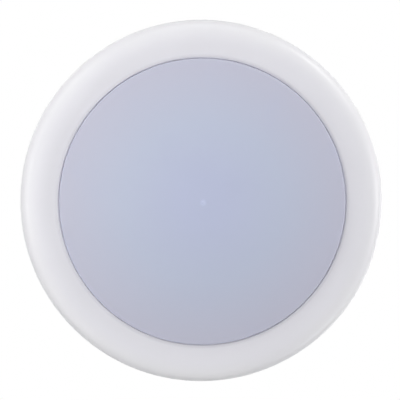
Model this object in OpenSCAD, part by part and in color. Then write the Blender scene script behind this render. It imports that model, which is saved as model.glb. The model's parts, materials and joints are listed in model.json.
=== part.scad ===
// Round surface-mounted ceiling light: a white trim and an opal lens on a twist-lock bracket.
// The ceiling is the plane z = 0 and the room is below it. The light turns about Z on its bracket.

/* [Trim ring] */
// Outer diameter of the trim
trim_d = 190; // [171:1:209]
// Width of the trim from the lens to its outer edge
band_w = 20.8; // [18.8:0.2:22]
// Depth of the trim's front band below the ceiling
trim_depth = 23; // [22:0.5:26]
// Wall thickness of the trim
trim_wall = 2.4; // [2:0.1:2.8]
// Squareness of the trim's shoulder, where 2 is an ellipse
shoulder_power = 4.5; // [3:0.25:6]
// Radius of the lip round the lens
lip_r = 1; // [0.8:0.1:1.6]
// Gap between the trim's rear edge and the ceiling
rim_gap = 0.6; // [0.3:0.1:1]
// Number of stiffening ribs inside the trim
rib_count = 12; // [12:4:24]
// Thickness of the ribs and of the wall that centres the lens
rib_t = 1.6; // [1.2:0.1:2]
// Height of the wall that centres the lens
collar_h = 4; // [3:0.5:5]

/* [Lens] */
// Wall thickness of the lens
lens_wall = 2; // [1.6:0.1:2.4]
// Height of the lens edge in front of the trim
lens_proud = 2; // [1:0.1:3]
// Rise of the dome above the lens edge
lens_rise = 9; // [6:0.5:12]
// Rounding of the lens edge
lens_edge_r = 0.8; // [0.6:0.1:1.8]
// Width of the flange that holds the lens behind the trim
lens_flange_w = 3.8; // [3.2:0.1:4.4]
// Number of keys on the lens flange
key_count = 3; // [2:1:4]
// Width of a key on the lens flange
key_w = 8; // [6:0.5:10]
// Diameter of the mark that the moulding gate leaves
gate_d = 1.8; // [1.2:0.2:2.4]
// Height of the gate's mark
gate_h = 0.2; // [0.1:0.05:0.4]
// Thickness of the silicone seal under the lens flange
seal_t = 1; // [0.6:0.1:1.6]

/* [Bracket] */
// Thickness of the bracket's steel
bracket_t = 1.2; // [1:0.1:1.6]
// Height of the lip turned up round the centre hole
bracket_lip_h = 3; // [2.8:0.2:5]
// Drop from the flat to the three arms
bracket_drop = 5; // [4.4:0.2:6]
// Length of the sloping part of an arm, seen from below
bracket_slope = 4.5; // [4:0.25:5]
// Width of an arm
arm_w = 40; // [38:1:42]
// Corner radius of an arm
arm_corner_r = 8; // [6:0.5:10]
// Flare on each side of an arm where it leaves the flat
arm_flare = 4; // [3:0.5:5]
// Bend radius of the pressed steel on its upper face
bend_r = 1.8; // [1.7:0.1:2.2]
// Spacing of the electrical box screws
box_spacing = 88.9; // [86:0.1:92]
// Length of a box screw slot
slot_len = 8; // [7:0.5:9]
// Width of a box screw slot and diameter of an anchor hole
slot_w = 4.8; // [4.4:0.1:5.2]

/* [Twist lock] */
// Place of the studs between the bracket's slope and the pan's step, as a share
stud_place = 0.4; // [0.38:0.01:0.45]
// Turn from locked to released, in degrees
twist_angle = 18; // [16:1:19]
// Diameter of a stud's neck
stud_neck_d = 4; // [3.6:0.1:4.4]
// Diameter of a stud's head
stud_head_d = 8.4; // [8:0.1:8.8]
// Thickness of a stud's head
stud_head_h = 1.6; // [1.2:0.1:2]
// Diameter of a stud's shoulder
stud_collar_d = 7.2; // [6.8:0.1:7.6]
// Diameter of a stud's rivet shank
stud_rivet_d = 5; // [4.4:0.1:5.4]
// Diameter of a stud's closed rivet end
stud_tail_d = 6.4; // [6:0.1:7]
// Thickness of a stud's closed rivet end
stud_tail_h = 0.9; // [0.6:0.1:1.1]

/* [Back pan] */
// Thickness of the pan's aluminium
pan_t = 1.5; // [1.2:0.1:1.8]
// Width of the pan's stiffening swage
swage_w = 4; // [3.6:0.2:5]
// Height of the swage
swage_h = 0.8; // [0.5:0.1:0.9]
// Width of the pan's step up to its rim
step_w = 3; // [2.6:0.2:3.4]
// Thickness of the foam gasket against the ceiling
gasket_t = 4; // [3:0.5:4.5]
// Diameter of the hole for the leads
lead_hole_d = 10; // [9.6:0.2:11]

/* [Light source] */
// Thickness of the light source's board
led_board_t = 1.6; // [1:0.1:2]
// Thickness of the thermal pad
pad_t = 0.5; // [0.3:0.1:0.8]
// Thickness of the white reflector sheet
sheet_t = 0.4; // [0.3:0.05:0.6]
// Length of a chip
chip_l = 3.5; // [3:0.1:4]
// Width of a chip
chip_w = 2.8; // [2.4:0.1:3.2]
// Height of a chip
chip_h = 0.8; // [0.65:0.05:1]
// Wall thickness of the reflector cup
cup_wall = 1.2; // [1:0.1:1.4]
// Length of the board's connector
connector_l = 6; // [5:0.2:7]
// Width of the board's connector
connector_w = 6.4; // [6:0.2:7]
// Height of the board's connector
connector_h = 2.6; // [2.4:0.1:3]
// Diameter of a lead with its insulation
lead_d = 1.6; // [1.3:0.1:1.7]
// Distance between the two leads
lead_pitch = 2.6; // [2.4:0.1:2.8]
// Bend radius of a lead
lead_bend_r = 2.6; // [2.2:0.1:3]

/* [Driver case] */
// Outer diameter of the driver case
case_d = 62; // [61:0.5:63]
// Wall thickness of the driver case
case_wall = 2; // [1.8:0.1:2.2]
// Space for the components under the driver board
bay_h = 14; // [13.8:0.2:17]
// Thickness of the driver board
driver_board_t = 1.6; // [1.2:0.1:2]
// Diameter of an inner post of the case
post_d = 6.4; // [6:0.2:6.8]
// Thickness of the ears that hold the case
ear_t = 2.5; // [2:0.1:2.8]
// Diameter of an ear
ear_d = 7.4; // [7:0.2:7.6]
// Thickness of the lid
lid_t = 2; // [1.8:0.1:2.4]
// Rounding of the lid's edge
lid_edge_r = 1; // [0.6:0.1:1.4]
// Height of the rim that centres the lid in the case
spigot_h = 1.6; // [1.2:0.2:2.4]

/* [Supply terminal] */
// Distance between the two poles
pole_pitch = 6.2; // [6:0.1:6.6]
// Width of the terminal block
term_w = 13; // [12.8:0.2:14]
// Length of the terminal block
term_l = 12; // [11.6:0.2:12.4]
// Height of the terminal block
term_h = 10.4; // [10:0.2:12]
// Height of the terminal block above the lid
term_proud = 1; // [0.6:0.1:1.4]
// Wall of the terminal block round a clamp
term_wall = 1.1; // [1:0.05:1.2]
// Diameter of a wire entry
entry_d = 3.2; // [2.8:0.1:3.4]
// Length of a wire entry's straight bore
entry_l = 4; // [3.6:0.1:4.2]
// Depth of the funnel in front of a wire entry
funnel_h = 1; // [0.8:0.1:1.2]
// Width of a release button
button_w = 3.4; // [3:0.1:3.6]
// Length of a release button
button_l = 3.2; // [2.8:0.1:3.4]
// Height of a release button above the block
button_proud = 1.4; // [1.4:0.1:2]
// Travel of a release button
button_travel = 1.2; // [1:0.1:1.4]
// Thickness of the clamp's spring strip
clamp_t = 0.5; // [0.4:0.05:0.6]

/* [Colour selector] */
// Distance between neighbouring selector positions
detent_pitch = 2; // [1.8:0.1:2.2]
// Number of steps from the first position to the last
detent_steps = 4; // [2:2:4]
// Length of the selector's thumb pad
thumb_l = 4.4; // [4:0.2:5]
// Width of the selector's thumb pad
thumb_w = 5; // [4.4:0.2:5.4]
// Height of the thumb pad above the lid
thumb_h = 1.6; // [1.2:0.1:2]
// Length of the selector's stem
stem_l = 3; // [2.6:0.1:3.4]
// Width of the selector's stem
stem_w = 2; // [1.8:0.1:2.4]
// Height of the selector switch on the board
switch_h = 4.5; // [4:0.1:5]
// Width of the selector switch
switch_w = 6.5; // [6:0.1:7]

/* [Screws] */
// Diameter of the screws
screw_d = 3; // [2.6:0.1:3.2]
// Diameter of the screws' heads
screw_head_d = 5.6; // [5.2:0.1:5.8]
// Height of the screws' heads
screw_head_h = 2; // [1.6:0.1:2.2]
// Depth that the trim screws reach into their bosses
trim_bite = 8; // [6:0.5:9]
// Depth that the lid screws reach into their posts
lid_bite = 6; // [5:0.5:8]
// Diameter of a screw boss in the trim
boss_d = 6.4; // [6:0.1:7]
// Diameter of the green earth screw
earth_d = 4.8; // [4.4:0.1:5]
// Thread length of the earth screw above the bracket
earth_l = 6; // [5:0.5:8]
// Height of the earth screw's hexagon head
earth_head_h = 2.6; // [2.2:0.1:3]

/* [Hidden] */
$fn = 96;

// Clearances
screw_fit = 0.02;
board_gap = 0.6;
window_gap = 0.4;
slide_gap = 0.3;
lens_gap = 0.15;
cup_gap = 0.6;
key_gap = 0.4;
pan_gap = 0.5;
bracket_gap = 0.6;
stud_lift = 0.25;
neck_gap = 0.4;
head_gap = 0.4;
reach_gap = 1.2;
step_gap = 2.8;
hole_gap = 3.5;
slot_gap = 2;
post_gap = 1.2;
tail_gap = 2.6;
ear_gap = 0.3;
gasket_gap = 0.6;
lead_fit = 0.05;
spigot_gap = 0.15;
press_gap = 0.2;

// A cut reaches this far past the face that it goes through
cut = 1;
// A rib or boss sinks this far into the wall that carries it
sink = 0.4;

// Colours
white_plastic = [0.93, 0.93, 0.94];
opal = [0.74, 0.76, 0.86];
silicone = [0.88, 0.88, 0.85];
foam = [0.25, 0.25, 0.27];
aluminium = [0.76, 0.77, 0.78];
zinc = [0.66, 0.68, 0.7];
copper = [0.78, 0.48, 0.32];
case_grey = [0.86, 0.86, 0.84];
board_green = [0.12, 0.4, 0.24];
black = [0.12, 0.12, 0.13];

// Radii of the trim
trim_r = trim_d / 2;
lens_r = trim_r - band_w;
aperture_r = lens_r + lens_gap;
band_r = aperture_r + lip_r;
shoulder_steps = 24;

// The lens flange and the wall round it
flange_r = lens_r + lens_flange_w;
collar_in_r = flange_r + key_gap;
collar_out_r = collar_in_r + rib_t;
boss_circle_r = collar_out_r + boss_d / 2 + cut;
boss_turns = [45, 135, 225, 315];

// Levels from the ceiling down to the lens
arm_top = -bracket_drop;
arm_bottom = arm_top - bracket_t;
pan_top = arm_bottom - bracket_gap;
pan_bottom = pan_top - pan_t;
rim_top = -gasket_t;
rim_bottom = rim_top - pan_t;
pad_bottom = pan_bottom - pad_t;
led_board_bottom = pad_bottom - led_board_t;
sheet_bottom = led_board_bottom - sheet_t;
band_back = trim_wall - trim_depth;
seal_top = band_back + seal_t;
flange_top = seal_top + lens_wall;
lens_edge = -trim_depth - lens_proud;

// The lens dome is a sphere through the lens edge
dome_r = (lens_r * lens_r + lens_rise * lens_rise) / (2 * lens_rise);
dome_z = lens_edge - lens_rise + dome_r;

// The bracket's flat takes the box screws, and its hole the driver case
box_r = box_spacing / 2;
bracket_hole_r = case_d / 2 + hole_gap;
bracket_flat_r = box_r + slot_len / 2 + slot_gap;
slope_foot_r = bracket_flat_r + bracket_slope;

// The pan's dish leaves room for its rim screws, and the arms turn inside it
step_out_r = boss_circle_r - screw_head_d / 2 - step_gap;
step_in_r = step_out_r - step_w;
arm_sweep_r = step_in_r - reach_gap;
arm_reach = arm_corner_r + sqrt(pow(arm_sweep_r - arm_corner_r, 2) - pow(arm_w / 2 - arm_corner_r, 2));
stud_circle_r = slope_foot_r + stud_place * (step_in_r - slope_foot_r);
pan_bend_r = 1;

// Levels of the driver, above the pan
case_r = case_d / 2;
case_in_r = case_r - case_wall;
case_floor = pan_top + case_wall;
board_bottom = case_floor + bay_h;
board_top = board_bottom + driver_board_t;
term_top = board_top + term_h;
lid_top = term_top - term_proud;
lid_bottom = lid_top - lid_t;
post_circle_r = case_in_r - post_d / 2 - post_gap;
post_turns = [90, 210, 330];
ear_circle_r = case_r + ear_d / 2 + ear_gap;
ear_turns = [30, 150, 270];

// Lead bushing
bushing_r = lead_hole_d / 2 - lead_fit;
bushing_lip_w = 1;
bushing_lip_t = 0.9;
centre_hole_r = bushing_r + bushing_lip_w + board_gap;

// Light source, with each ring of chips as a share of the board's radius and a count
led_board_r = stud_circle_r - stud_tail_d / 2 - tail_gap;
chip_rings = [[0.31, 6], [0.55, 12], [0.9, 18]];
board_screw_r = led_board_r * 0.74;
screw_turns = [90, 210, 330];
swage_r = board_screw_r + 1.5 * swage_w;
sheet_r = led_board_r - board_gap;
connector_x = centre_hole_r + board_gap;
sheet_hole_r = connector_x + connector_l + board_gap;

// Terminal block, on the driver board
term_y = -13.5;
pole_xs = [-pole_pitch / 2, pole_pitch / 2];
chamber_w = pole_pitch - term_wall * 1.6;
chamber_start = term_y - term_l / 2 + term_wall;
chamber_end = term_y + term_l / 2 - term_wall;
chamber_top = term_top - funnel_h - entry_l;
entry_y = chamber_start + entry_d / 2 + press_gap;
button_y = chamber_end - slide_gap - button_l / 2;
hook_w = 0.7;
hook_t = 0.7;
hook_top = chamber_top - slide_gap;
clamp_top = hook_top - hook_t - button_travel - press_gap;

// Colour selector, on the driver board
selector_y = 6;
selector_travel = detent_pitch * detent_steps;
slot_l = stem_l + selector_travel + 2 * slide_gap;
keeper_t = 0.8;
keeper_margin = 1.2;
switch_top = board_top + switch_h;
stem_depth = 1.5;

// Bracket holes
earth_turn = 112.5;
earth_r = box_r - slot_gap - slide_gap;
stud_turns = [90, 210, 330];

// A vector of length one
function unit(v) = v / norm(v);

// The point at a radius and an angle
function polar(r, a) = [r * cos(a), r * sin(a)];

// A point turned about the origin
function turned(p, a) = [p.x * cos(a) - p.y * sin(a), p.x * sin(a) + p.y * cos(a)];

// The arc of radius r that replaces the corner b of the path a, b, c
function corner(a, b, c, r, steps) =
    let (u = unit(a - b), v = unit(c - b), half = acos(u * v) / 2)
    let (centre = b + unit(u + v) * r / sin(half), first = b + u * r / tan(half) - centre)
    let (sweep = (180 - 2 * half) * (cross(u, v) > 0 ? -1 : 1))
    [for (k = [0 : steps]) centre + turned(first, sweep * k / steps)];

// A path with every inner corner rounded
function rounded(path, r, steps = 4) =
    let (last = len(path) - 1)
    [for (i = [0 : last])
        each i == 0 || i == last ? [path[i]] : corner(path[i - 1], path[i], path[i + 1], r, steps)];

// The outline of sheet of thickness t that lies to the right of a path
function pressed(path, t) =
    let (last = len(path) - 1)
    let (normals = [for (i = [0 : last - 1]) turned(unit(path[i + 1] - path[i]), -90)])
    let (offsets = [for (i = [0 : last])
        let (m = normals[max(i - 1, 0)], n = normals[min(i, last - 1)]) (m + n) * t / (1 + m * n)])
    concat(path, [for (i = [last : -1 : 0]) path[i] + offsets[i]]);

// A list of points in the opposite order
function reversed(path) = [for (i = [len(path) - 1 : -1 : 0]) path[i]];

// A quarter of a superellipse, from its crest at the inner radius to its foot at the outer radius
function shoulder(in_r, out_r, crest, foot) =
    [for (i = [0 : shoulder_steps])
        let (t = 90 * i / shoulder_steps, e = 2 / shoulder_power)
        [in_r + (out_r - in_r) * pow(sin(t), e), foot + (crest - foot) * pow(cos(t), e)]];

// The inner radius of the trim's wall at a height
function trim_in_r(z) =
    let (share = (z + rim_gap) / (band_back + rim_gap))
    let (width = trim_r - trim_wall - collar_out_r)
    collar_out_r + width * pow(1 - pow(share, shoulder_power), 1 / shoulder_power);

pan_rim_r = trim_in_r(rim_bottom) - pan_gap;
gasket_in_r = step_out_r + gasket_gap;
gasket_out_r = pan_rim_r - gasket_gap;

// The lens from its side wall to its centre, taken in by an inset
function dome_path(inset) =
    let (side = lens_r - inset, ball = dome_r - inset, edge = max(lens_edge_r - inset, press_gap))
    let (lean = asin((side - edge) / (ball - edge)))
    let (centre = [side - edge, dome_z - (ball - edge) * cos(lean)])
    concat(
        [for (i = [0 : 6]) centre + polar(edge, (lean - 90) * i / 6)],
        [for (i = [1 : 12]) [0, dome_z] + polar(ball, lean * (1 - i / 12) - 90)]
    );

// The radius of a dome with a given rim radius and rise
function cap_r(rim, rise) = (rim * rim + rise * rise) / (2 * rise);

// A cross-recessed pan head screw that points down from z = 0
module screw(length) {
    crown = screw_head_h / 2;
    recess_w = screw_head_d / 6;
    recess_l = screw_head_d * 0.6;
    color(zinc) {
        translate([0, 0, -length]) cylinder(d = screw_d, h = length);
        difference() {
            intersection() {
                cylinder(d = screw_head_d, h = screw_head_h);
                translate([0, 0, screw_head_h - cap_r(screw_head_d / 2, crown)])
                    sphere(cap_r(screw_head_d / 2, crown));
            }
            for (turn = [0, 90]) rotate(turn)
                translate([-recess_l / 2, -recess_w / 2, crown]) cube([recess_l, recess_w, screw_head_h]);
        }
    }
}

// Children at each turn on a circle
module around(turns, r) {
    for (turn = turns) rotate(turn) translate([r, 0, 0]) children();
}

// A straight slot with round ends, along X
module slot(length, width, height) {
    straight = length - width;
    translate([-straight / 2, -width / 2, 0]) cube([straight, width, height]);
    for (x = [-straight / 2, straight / 2]) translate([x, 0, 0]) cylinder(d = width, h = height);
}

// Pressed steel bracket

module mounting_bracket() {
    color(zinc) difference() {
        intersection() {
            bracket_dish();
            translate([0, 0, arm_bottom - cut]) bracket_blank(bracket_lip_h - arm_bottom + 2 * cut);
        }
        for (side = [-1, 1]) translate([side * box_r, 0, -bracket_t - cut])
            slot(slot_len, slot_w, bracket_t + 2 * cut);
        around(boss_turns, box_r) translate([0, 0, -bracket_t - cut])
            cylinder(d = slot_w, h = bracket_t + 2 * cut);
        rotate(earth_turn) translate([earth_r, 0, -bracket_t - cut])
            cylinder(d = earth_d + 2 * screw_fit, h = bracket_t + 2 * cut);
        for (turn = stud_turns) rotate(turn) keyhole();
    }
}

// The revolved section: lip, flat, slope and arms
module bracket_dish() {
    top = [
        [bracket_hole_r + bracket_t, bracket_lip_h],
        [bracket_hole_r + bracket_t, 0],
        [bracket_flat_r, 0],
        [slope_foot_r, arm_top],
        [arm_sweep_r + reach_gap, arm_top]
    ];
    rotate_extrude() polygon(pressed(rounded(top, bend_r), bracket_t));
}

// The bracket seen from above: a ring with three arms that flare out where they leave it
module bracket_blank(height) {
    root = [sqrt(pow(bracket_flat_r, 2) - pow(arm_w / 2 + arm_flare, 2)) - cut, arm_w / 2 + arm_flare];
    side = [
        [0, root.y],
        root,
        [root.x + 3 * arm_flare, arm_w / 2],
        [arm_reach, arm_w / 2]
    ];
    arm = rounded(concat(side, [for (p = reversed(side)) [p.x, -p.y]]), arm_corner_r, 8);
    cylinder(r = bracket_flat_r, h = height);
    for (turn = stud_turns) rotate(turn - twist_angle / 2) linear_extrude(height) polygon(arm);
}

// The keyhole slot of one stud, whose locked place is on the X axis
module keyhole() {
    width = stud_neck_d + 2 * neck_gap;
    height = bracket_t + 2 * cut;
    translate([0, 0, arm_bottom - cut]) {
        rotate(-twist_angle) rotate_extrude(angle = twist_angle)
            translate([stud_circle_r - width / 2, 0]) square([width, height]);
        translate([stud_circle_r, 0, 0]) cylinder(d = width, h = height);
        rotate(-twist_angle) translate([stud_circle_r, 0, 0])
            cylinder(d = stud_head_d + 2 * head_gap, h = height);
    }
}

// The green hexagon screw for the earth wire, its head under the bracket
module earth_screw() {
    washer_t = 0.8;
    slot_t = 1.1;
    head_bottom = -bracket_t - washer_t - earth_head_h;
    color([0.1, 0.5, 0.22]) rotate(earth_turn) translate([earth_r, 0, 0]) difference() {
        union() {
            translate([0, 0, -bracket_t]) cylinder(d = earth_d, h = bracket_t + earth_l);
            translate([0, 0, -bracket_t - washer_t]) cylinder(d = earth_d * 1.9, h = washer_t);
            translate([0, 0, head_bottom]) cylinder(d = earth_d * 1.75, h = earth_head_h, $fn = 6);
        }
        translate([-earth_d, -slot_t / 2, head_bottom - cut]) cube([2 * earth_d, slot_t, slot_t + cut]);
    }
}

// Trim and lens

module trim_ring() {
    color(white_plastic) difference() {
        union() {
            rotate_extrude() polygon(concat(
                [[aperture_r, band_back]],
                [for (i = [0 : 5]) [band_r, lip_r - trim_depth] + polar(lip_r, 180 + 18 * i)],
                [for (p = shoulder(band_r, trim_r, -trim_depth, -rim_gap)) if (p.x > band_r) p],
                reversed(shoulder(collar_out_r, trim_r - trim_wall, band_back, -rim_gap))
            ));
            lens_collar();
            intersection() {
                trim_inside();
                union() {
                    for (i = [0 : rib_count - 1]) rotate(360 * i / rib_count)
                        translate([collar_out_r - sink, -rib_t / 2, band_back - sink])
                            cube([trim_r - collar_out_r, rib_t, rim_bottom - band_back + sink]);
                    around(boss_turns, boss_circle_r) translate([0, 0, band_back - sink])
                        cylinder(d = boss_d, h = rim_bottom - band_back + sink);
                }
            }
        }
        around(boss_turns, boss_circle_r) translate([0, 0, rim_bottom - trim_bite - cut])
            cylinder(d = screw_d + 2 * screw_fit, h = trim_bite + 2 * cut);
    }
}

// The trim's inside with half of its wall, which bounds the ribs and bosses
module trim_inside() {
    half_wall = trim_wall / 2;
    rotate_extrude() polygon(concat(
        [[0, 0], [0, half_wall - trim_depth]],
        shoulder(band_r, trim_r - half_wall, half_wall - trim_depth, 0)
    ));
}

// The wall that centres the lens flange, with a gap for each key
module lens_collar() {
    difference() {
        translate([0, 0, band_back - sink]) cylinder(r = collar_out_r, h = collar_h + sink);
        translate([0, 0, band_back - cut]) cylinder(r = collar_in_r, h = collar_h + 2 * cut);
        at_keys() translate([collar_in_r - cut, -key_w / 2 - key_gap, band_back])
            cube([rib_t + 2 * cut, key_w + 2 * key_gap, collar_h + cut]);
    }
}

module at_keys() {
    for (i = [0 : key_count - 1]) rotate(360 * (i + 0.5) / key_count + 15) children();
}

module diffuser_lens() {
    color(opal) {
        rotate_extrude() polygon(concat(
            [[lens_r - lens_wall, flange_top], [flange_r, flange_top], [flange_r, seal_top], [lens_r, seal_top]],
            dome_path(0),
            reversed(dome_path(lens_wall))
        ));
        translate([0, 0, dome_z - dome_r - gate_h]) cylinder(d = gate_d, h = gate_h + lens_wall / 2);
        at_keys() translate([flange_r - cut, -key_w / 2, seal_top])
            cube([rib_t + cut, key_w, lens_wall]);
    }
}

module lens_seal() {
    color(silicone) rotate_extrude() translate([aperture_r + sink, band_back])
        square([flange_r - aperture_r - sink, seal_t]);
}

// Light source

// The moulded cup between the board and the lens flange
module reflector_cup() {
    ring_r = led_board_r + board_gap;
    ledge_r = sheet_r - 2 * cup_wall;
    foot_r = lens_r - lens_wall - cup_gap;
    ledge_bottom = sheet_bottom - cup_wall;
    slope = (flange_top - ledge_bottom) / (foot_r - ledge_r);
    rise = cup_wall * norm([1, slope]);
    color(white_plastic) rotate_extrude() polygon([
        [ring_r, pan_bottom],
        [ring_r, sheet_bottom],
        [ledge_r, sheet_bottom],
        [ledge_r, ledge_bottom],
        [foot_r, flange_top],
        [flange_r, flange_top],
        [flange_r, flange_top + rise],
        [foot_r, flange_top + rise],
        [ring_r + cup_wall, ledge_bottom + slope * (ring_r + cup_wall - ledge_r) + rise],
        [ring_r + cup_wall, pan_bottom]
    ]);
}

// Children at every chip of the light source
module at_chips() {
    for (ring = chip_rings, i = [0 : ring[1] - 1]) rotate(360 * (i + 0.5) / ring[1])
        translate([ring[0] * led_board_r, 0, 0]) children();
}

module reflector_sheet() {
    window = [chip_w + 2 * window_gap, chip_l + 2 * window_gap, sheet_t + 2 * cut];
    color(white_plastic) translate([0, 0, sheet_bottom]) difference() {
        cylinder(r = sheet_r, h = sheet_t);
        translate([0, 0, -cut]) {
            cylinder(r = sheet_hole_r, h = sheet_t + 2 * cut);
            around(screw_turns, board_screw_r) cylinder(r = screw_head_d / 2 + window_gap, h = sheet_t + 2 * cut);
            at_chips() translate([-window.x / 2, -window.y / 2, 0]) cube(window);
        }
    }
}

// A round layer with the holes that the bushing and the screws need
module drilled_disc(r, bottom, thickness, hole_r) {
    translate([0, 0, bottom]) difference() {
        cylinder(r = r, h = thickness);
        translate([0, 0, -cut]) {
            cylinder(r = hole_r, h = thickness + 2 * cut);
            around(screw_turns, board_screw_r) cylinder(d = screw_d + 2 * screw_fit, h = thickness + 2 * cut);
        }
    }
}

module led_board() {
    color([0.9, 0.91, 0.9]) drilled_disc(led_board_r, led_board_bottom, led_board_t, centre_hole_r);
}

module thermal_pad() {
    color([0.6, 0.66, 0.72]) drilled_disc(sheet_r, pad_bottom, pad_t, centre_hole_r);
}

module led_chips() {
    color([0.93, 0.86, 0.5]) at_chips() translate([-chip_w / 2, -chip_l / 2, led_board_bottom - chip_h])
        cube([chip_w, chip_l, chip_h]);
}

module board_screws() {
    around(screw_turns, board_screw_r) translate([0, 0, led_board_bottom]) mirror([0, 0, 1])
        screw(pan_top - led_board_bottom + cut);
}

// The two-pole connector that the leads plug into
module board_connector() {
    plug_depth = connector_l / 4;
    color([0.92, 0.91, 0.87]) translate([connector_x, 0, led_board_bottom - connector_h]) difference() {
        translate([0, -connector_w / 2, 0]) cube([connector_l, connector_w, connector_h]);
        for (y = [-lead_pitch / 2, lead_pitch / 2]) translate([-cut, y, connector_h / 2]) rotate([0, 90, 0])
            cylinder(r = lead_d / 2 + lead_fit, h = plug_depth + cut, $fn = 32);
    }
}

// A lead from the driver board, down through the bushing and round into the connector
module lead(side) {
    run_z = led_board_bottom - connector_h / 2;
    bend_z = run_z + lead_bend_r;
    run_end = connector_x + connector_l / 4;
    translate([0, side * lead_pitch / 2, 0]) {
        translate([0, 0, bend_z]) cylinder(d = lead_d, h = board_bottom - bend_z, $fn = 32);
        translate([lead_bend_r, 0, bend_z]) rotate([90, 0, 0]) rotate(180) rotate_extrude(angle = 90)
            translate([lead_bend_r, 0]) circle(d = lead_d, $fn = 32);
        translate([lead_bend_r, 0, run_z]) rotate([0, 90, 0])
            cylinder(d = lead_d, h = run_end - lead_bend_r, $fn = 32);
    }
}

module lead_positive() {
    color([0.75, 0.1, 0.08]) lead(1);
}

module lead_negative() {
    color(black) lead(-1);
}

// The bushing that grips the pan and the case floor
module lead_bushing() {
    rim_r = bushing_r + bushing_lip_w;
    color(black) difference() {
        union() {
            translate([0, 0, pan_bottom]) cylinder(r = bushing_r, h = case_floor - pan_bottom);
            translate([0, 0, pan_bottom - bushing_lip_t]) cylinder(r = rim_r, h = bushing_lip_t);
            translate([0, 0, case_floor]) cylinder(r = rim_r, h = bushing_lip_t);
        }
        for (y = [-lead_pitch / 2, lead_pitch / 2]) translate([0, y, pan_bottom - bushing_lip_t - cut])
            cylinder(r = lead_d / 2 + lead_fit, h = case_floor - pan_bottom + 2 * bushing_lip_t + 2 * cut, $fn = 32);
    }
}

// Back pan and what it carries

module back_pan() {
    swage = [for (i = [0 : 8])
        [swage_r + swage_w * (i / 8 - 0.5), pan_top + swage_h * (1 - cos(45 * i)) / 2]];
    step = rounded([
        [swage_r + swage_w, pan_top],
        [step_in_r, pan_top],
        [step_out_r, rim_top],
        [pan_rim_r, rim_top]
    ], pan_bend_r);
    color(aluminium) difference() {
        rotate_extrude() polygon(pressed(concat([[lead_hole_d / 2, pan_top]], swage, step), pan_t));
        translate([0, 0, pan_bottom - cut]) {
            around(screw_turns, board_screw_r) cylinder(d = screw_d + 2 * screw_fit, h = pan_t + 2 * cut);
            around(ear_turns, ear_circle_r) cylinder(d = screw_d + 2 * screw_fit, h = pan_t + 2 * cut);
            around(stud_turns, stud_circle_r) cylinder(d = stud_rivet_d + 2 * screw_fit, h = pan_t + 2 * cut);
        }
        around(boss_turns, boss_circle_r) translate([0, 0, rim_bottom - cut])
            cylinder(d = screw_d + 2 * screw_fit, h = pan_t + 2 * cut);
    }
}

module pan_screws() {
    around(boss_turns, boss_circle_r) translate([0, 0, rim_top]) screw(pan_t + trim_bite);
}

module ceiling_gasket() {
    color(foam) translate([0, 0, rim_top]) difference() {
        cylinder(r = gasket_out_r, h = gasket_t);
        translate([0, 0, -cut]) {
            cylinder(r = gasket_in_r, h = gasket_t + 2 * cut);
            around(boss_turns, boss_circle_r)
                cylinder(r = screw_head_d / 2 + gasket_gap, h = gasket_t + 2 * cut);
        }
    }
}

// Three shouldered rivets whose heads hang on the bracket's arms
module twist_studs() {
    head_bottom = arm_top + stud_lift;
    shoulder_top = arm_bottom - press_gap;
    chamfer = stud_head_h / 3;
    color(zinc) around(stud_turns, stud_circle_r) rotate_extrude() polygon([
        [0, pan_bottom - stud_tail_h],
        [stud_tail_d / 2, pan_bottom - stud_tail_h],
        [stud_tail_d / 2, pan_bottom],
        [stud_rivet_d / 2, pan_bottom],
        [stud_rivet_d / 2, pan_top],
        [stud_collar_d / 2, pan_top],
        [stud_collar_d / 2, shoulder_top],
        [stud_neck_d / 2, shoulder_top],
        [stud_neck_d / 2, head_bottom],
        [stud_head_d / 2, head_bottom],
        [stud_head_d / 2, head_bottom + stud_head_h - chamfer],
        [stud_head_d / 2 - chamfer, head_bottom + stud_head_h],
        [0, head_bottom + stud_head_h]
    ]);
}

// Driver case

// A screw post with its pilot hole
module post(height) {
    difference() {
        cylinder(d = post_d, h = height);
        translate([0, 0, height - lid_bite - cut]) cylinder(d = screw_d + 2 * screw_fit, h = lid_bite + 2 * cut);
    }
}

module driver_case() {
    color(case_grey) {
        difference() {
            union() {
                translate([0, 0, pan_top]) cylinder(d = case_d, h = lid_bottom - pan_top);
                around(ear_turns, 0) translate([0, 0, pan_top]) {
                    translate([ear_circle_r, 0, 0]) cylinder(d = ear_d, h = ear_t);
                    translate([case_in_r, -ear_d / 2, 0]) cube([ear_circle_r - case_in_r, ear_d, ear_t]);
                }
            }
            translate([0, 0, case_floor]) cylinder(r = case_in_r, h = lid_bottom - case_floor + cut);
            translate([0, 0, pan_top - cut]) {
                cylinder(d = lead_hole_d, h = case_wall + 2 * cut);
                around(ear_turns, ear_circle_r) cylinder(d = screw_d + 2 * screw_fit, h = ear_t + 2 * cut);
            }
        }
        around(post_turns, post_circle_r) translate([0, 0, case_floor - sink]) post(bay_h + sink);
    }
}

module case_screws() {
    around(ear_turns, ear_circle_r) translate([0, 0, pan_top + ear_t]) screw(ear_t + pan_t);
}

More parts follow.
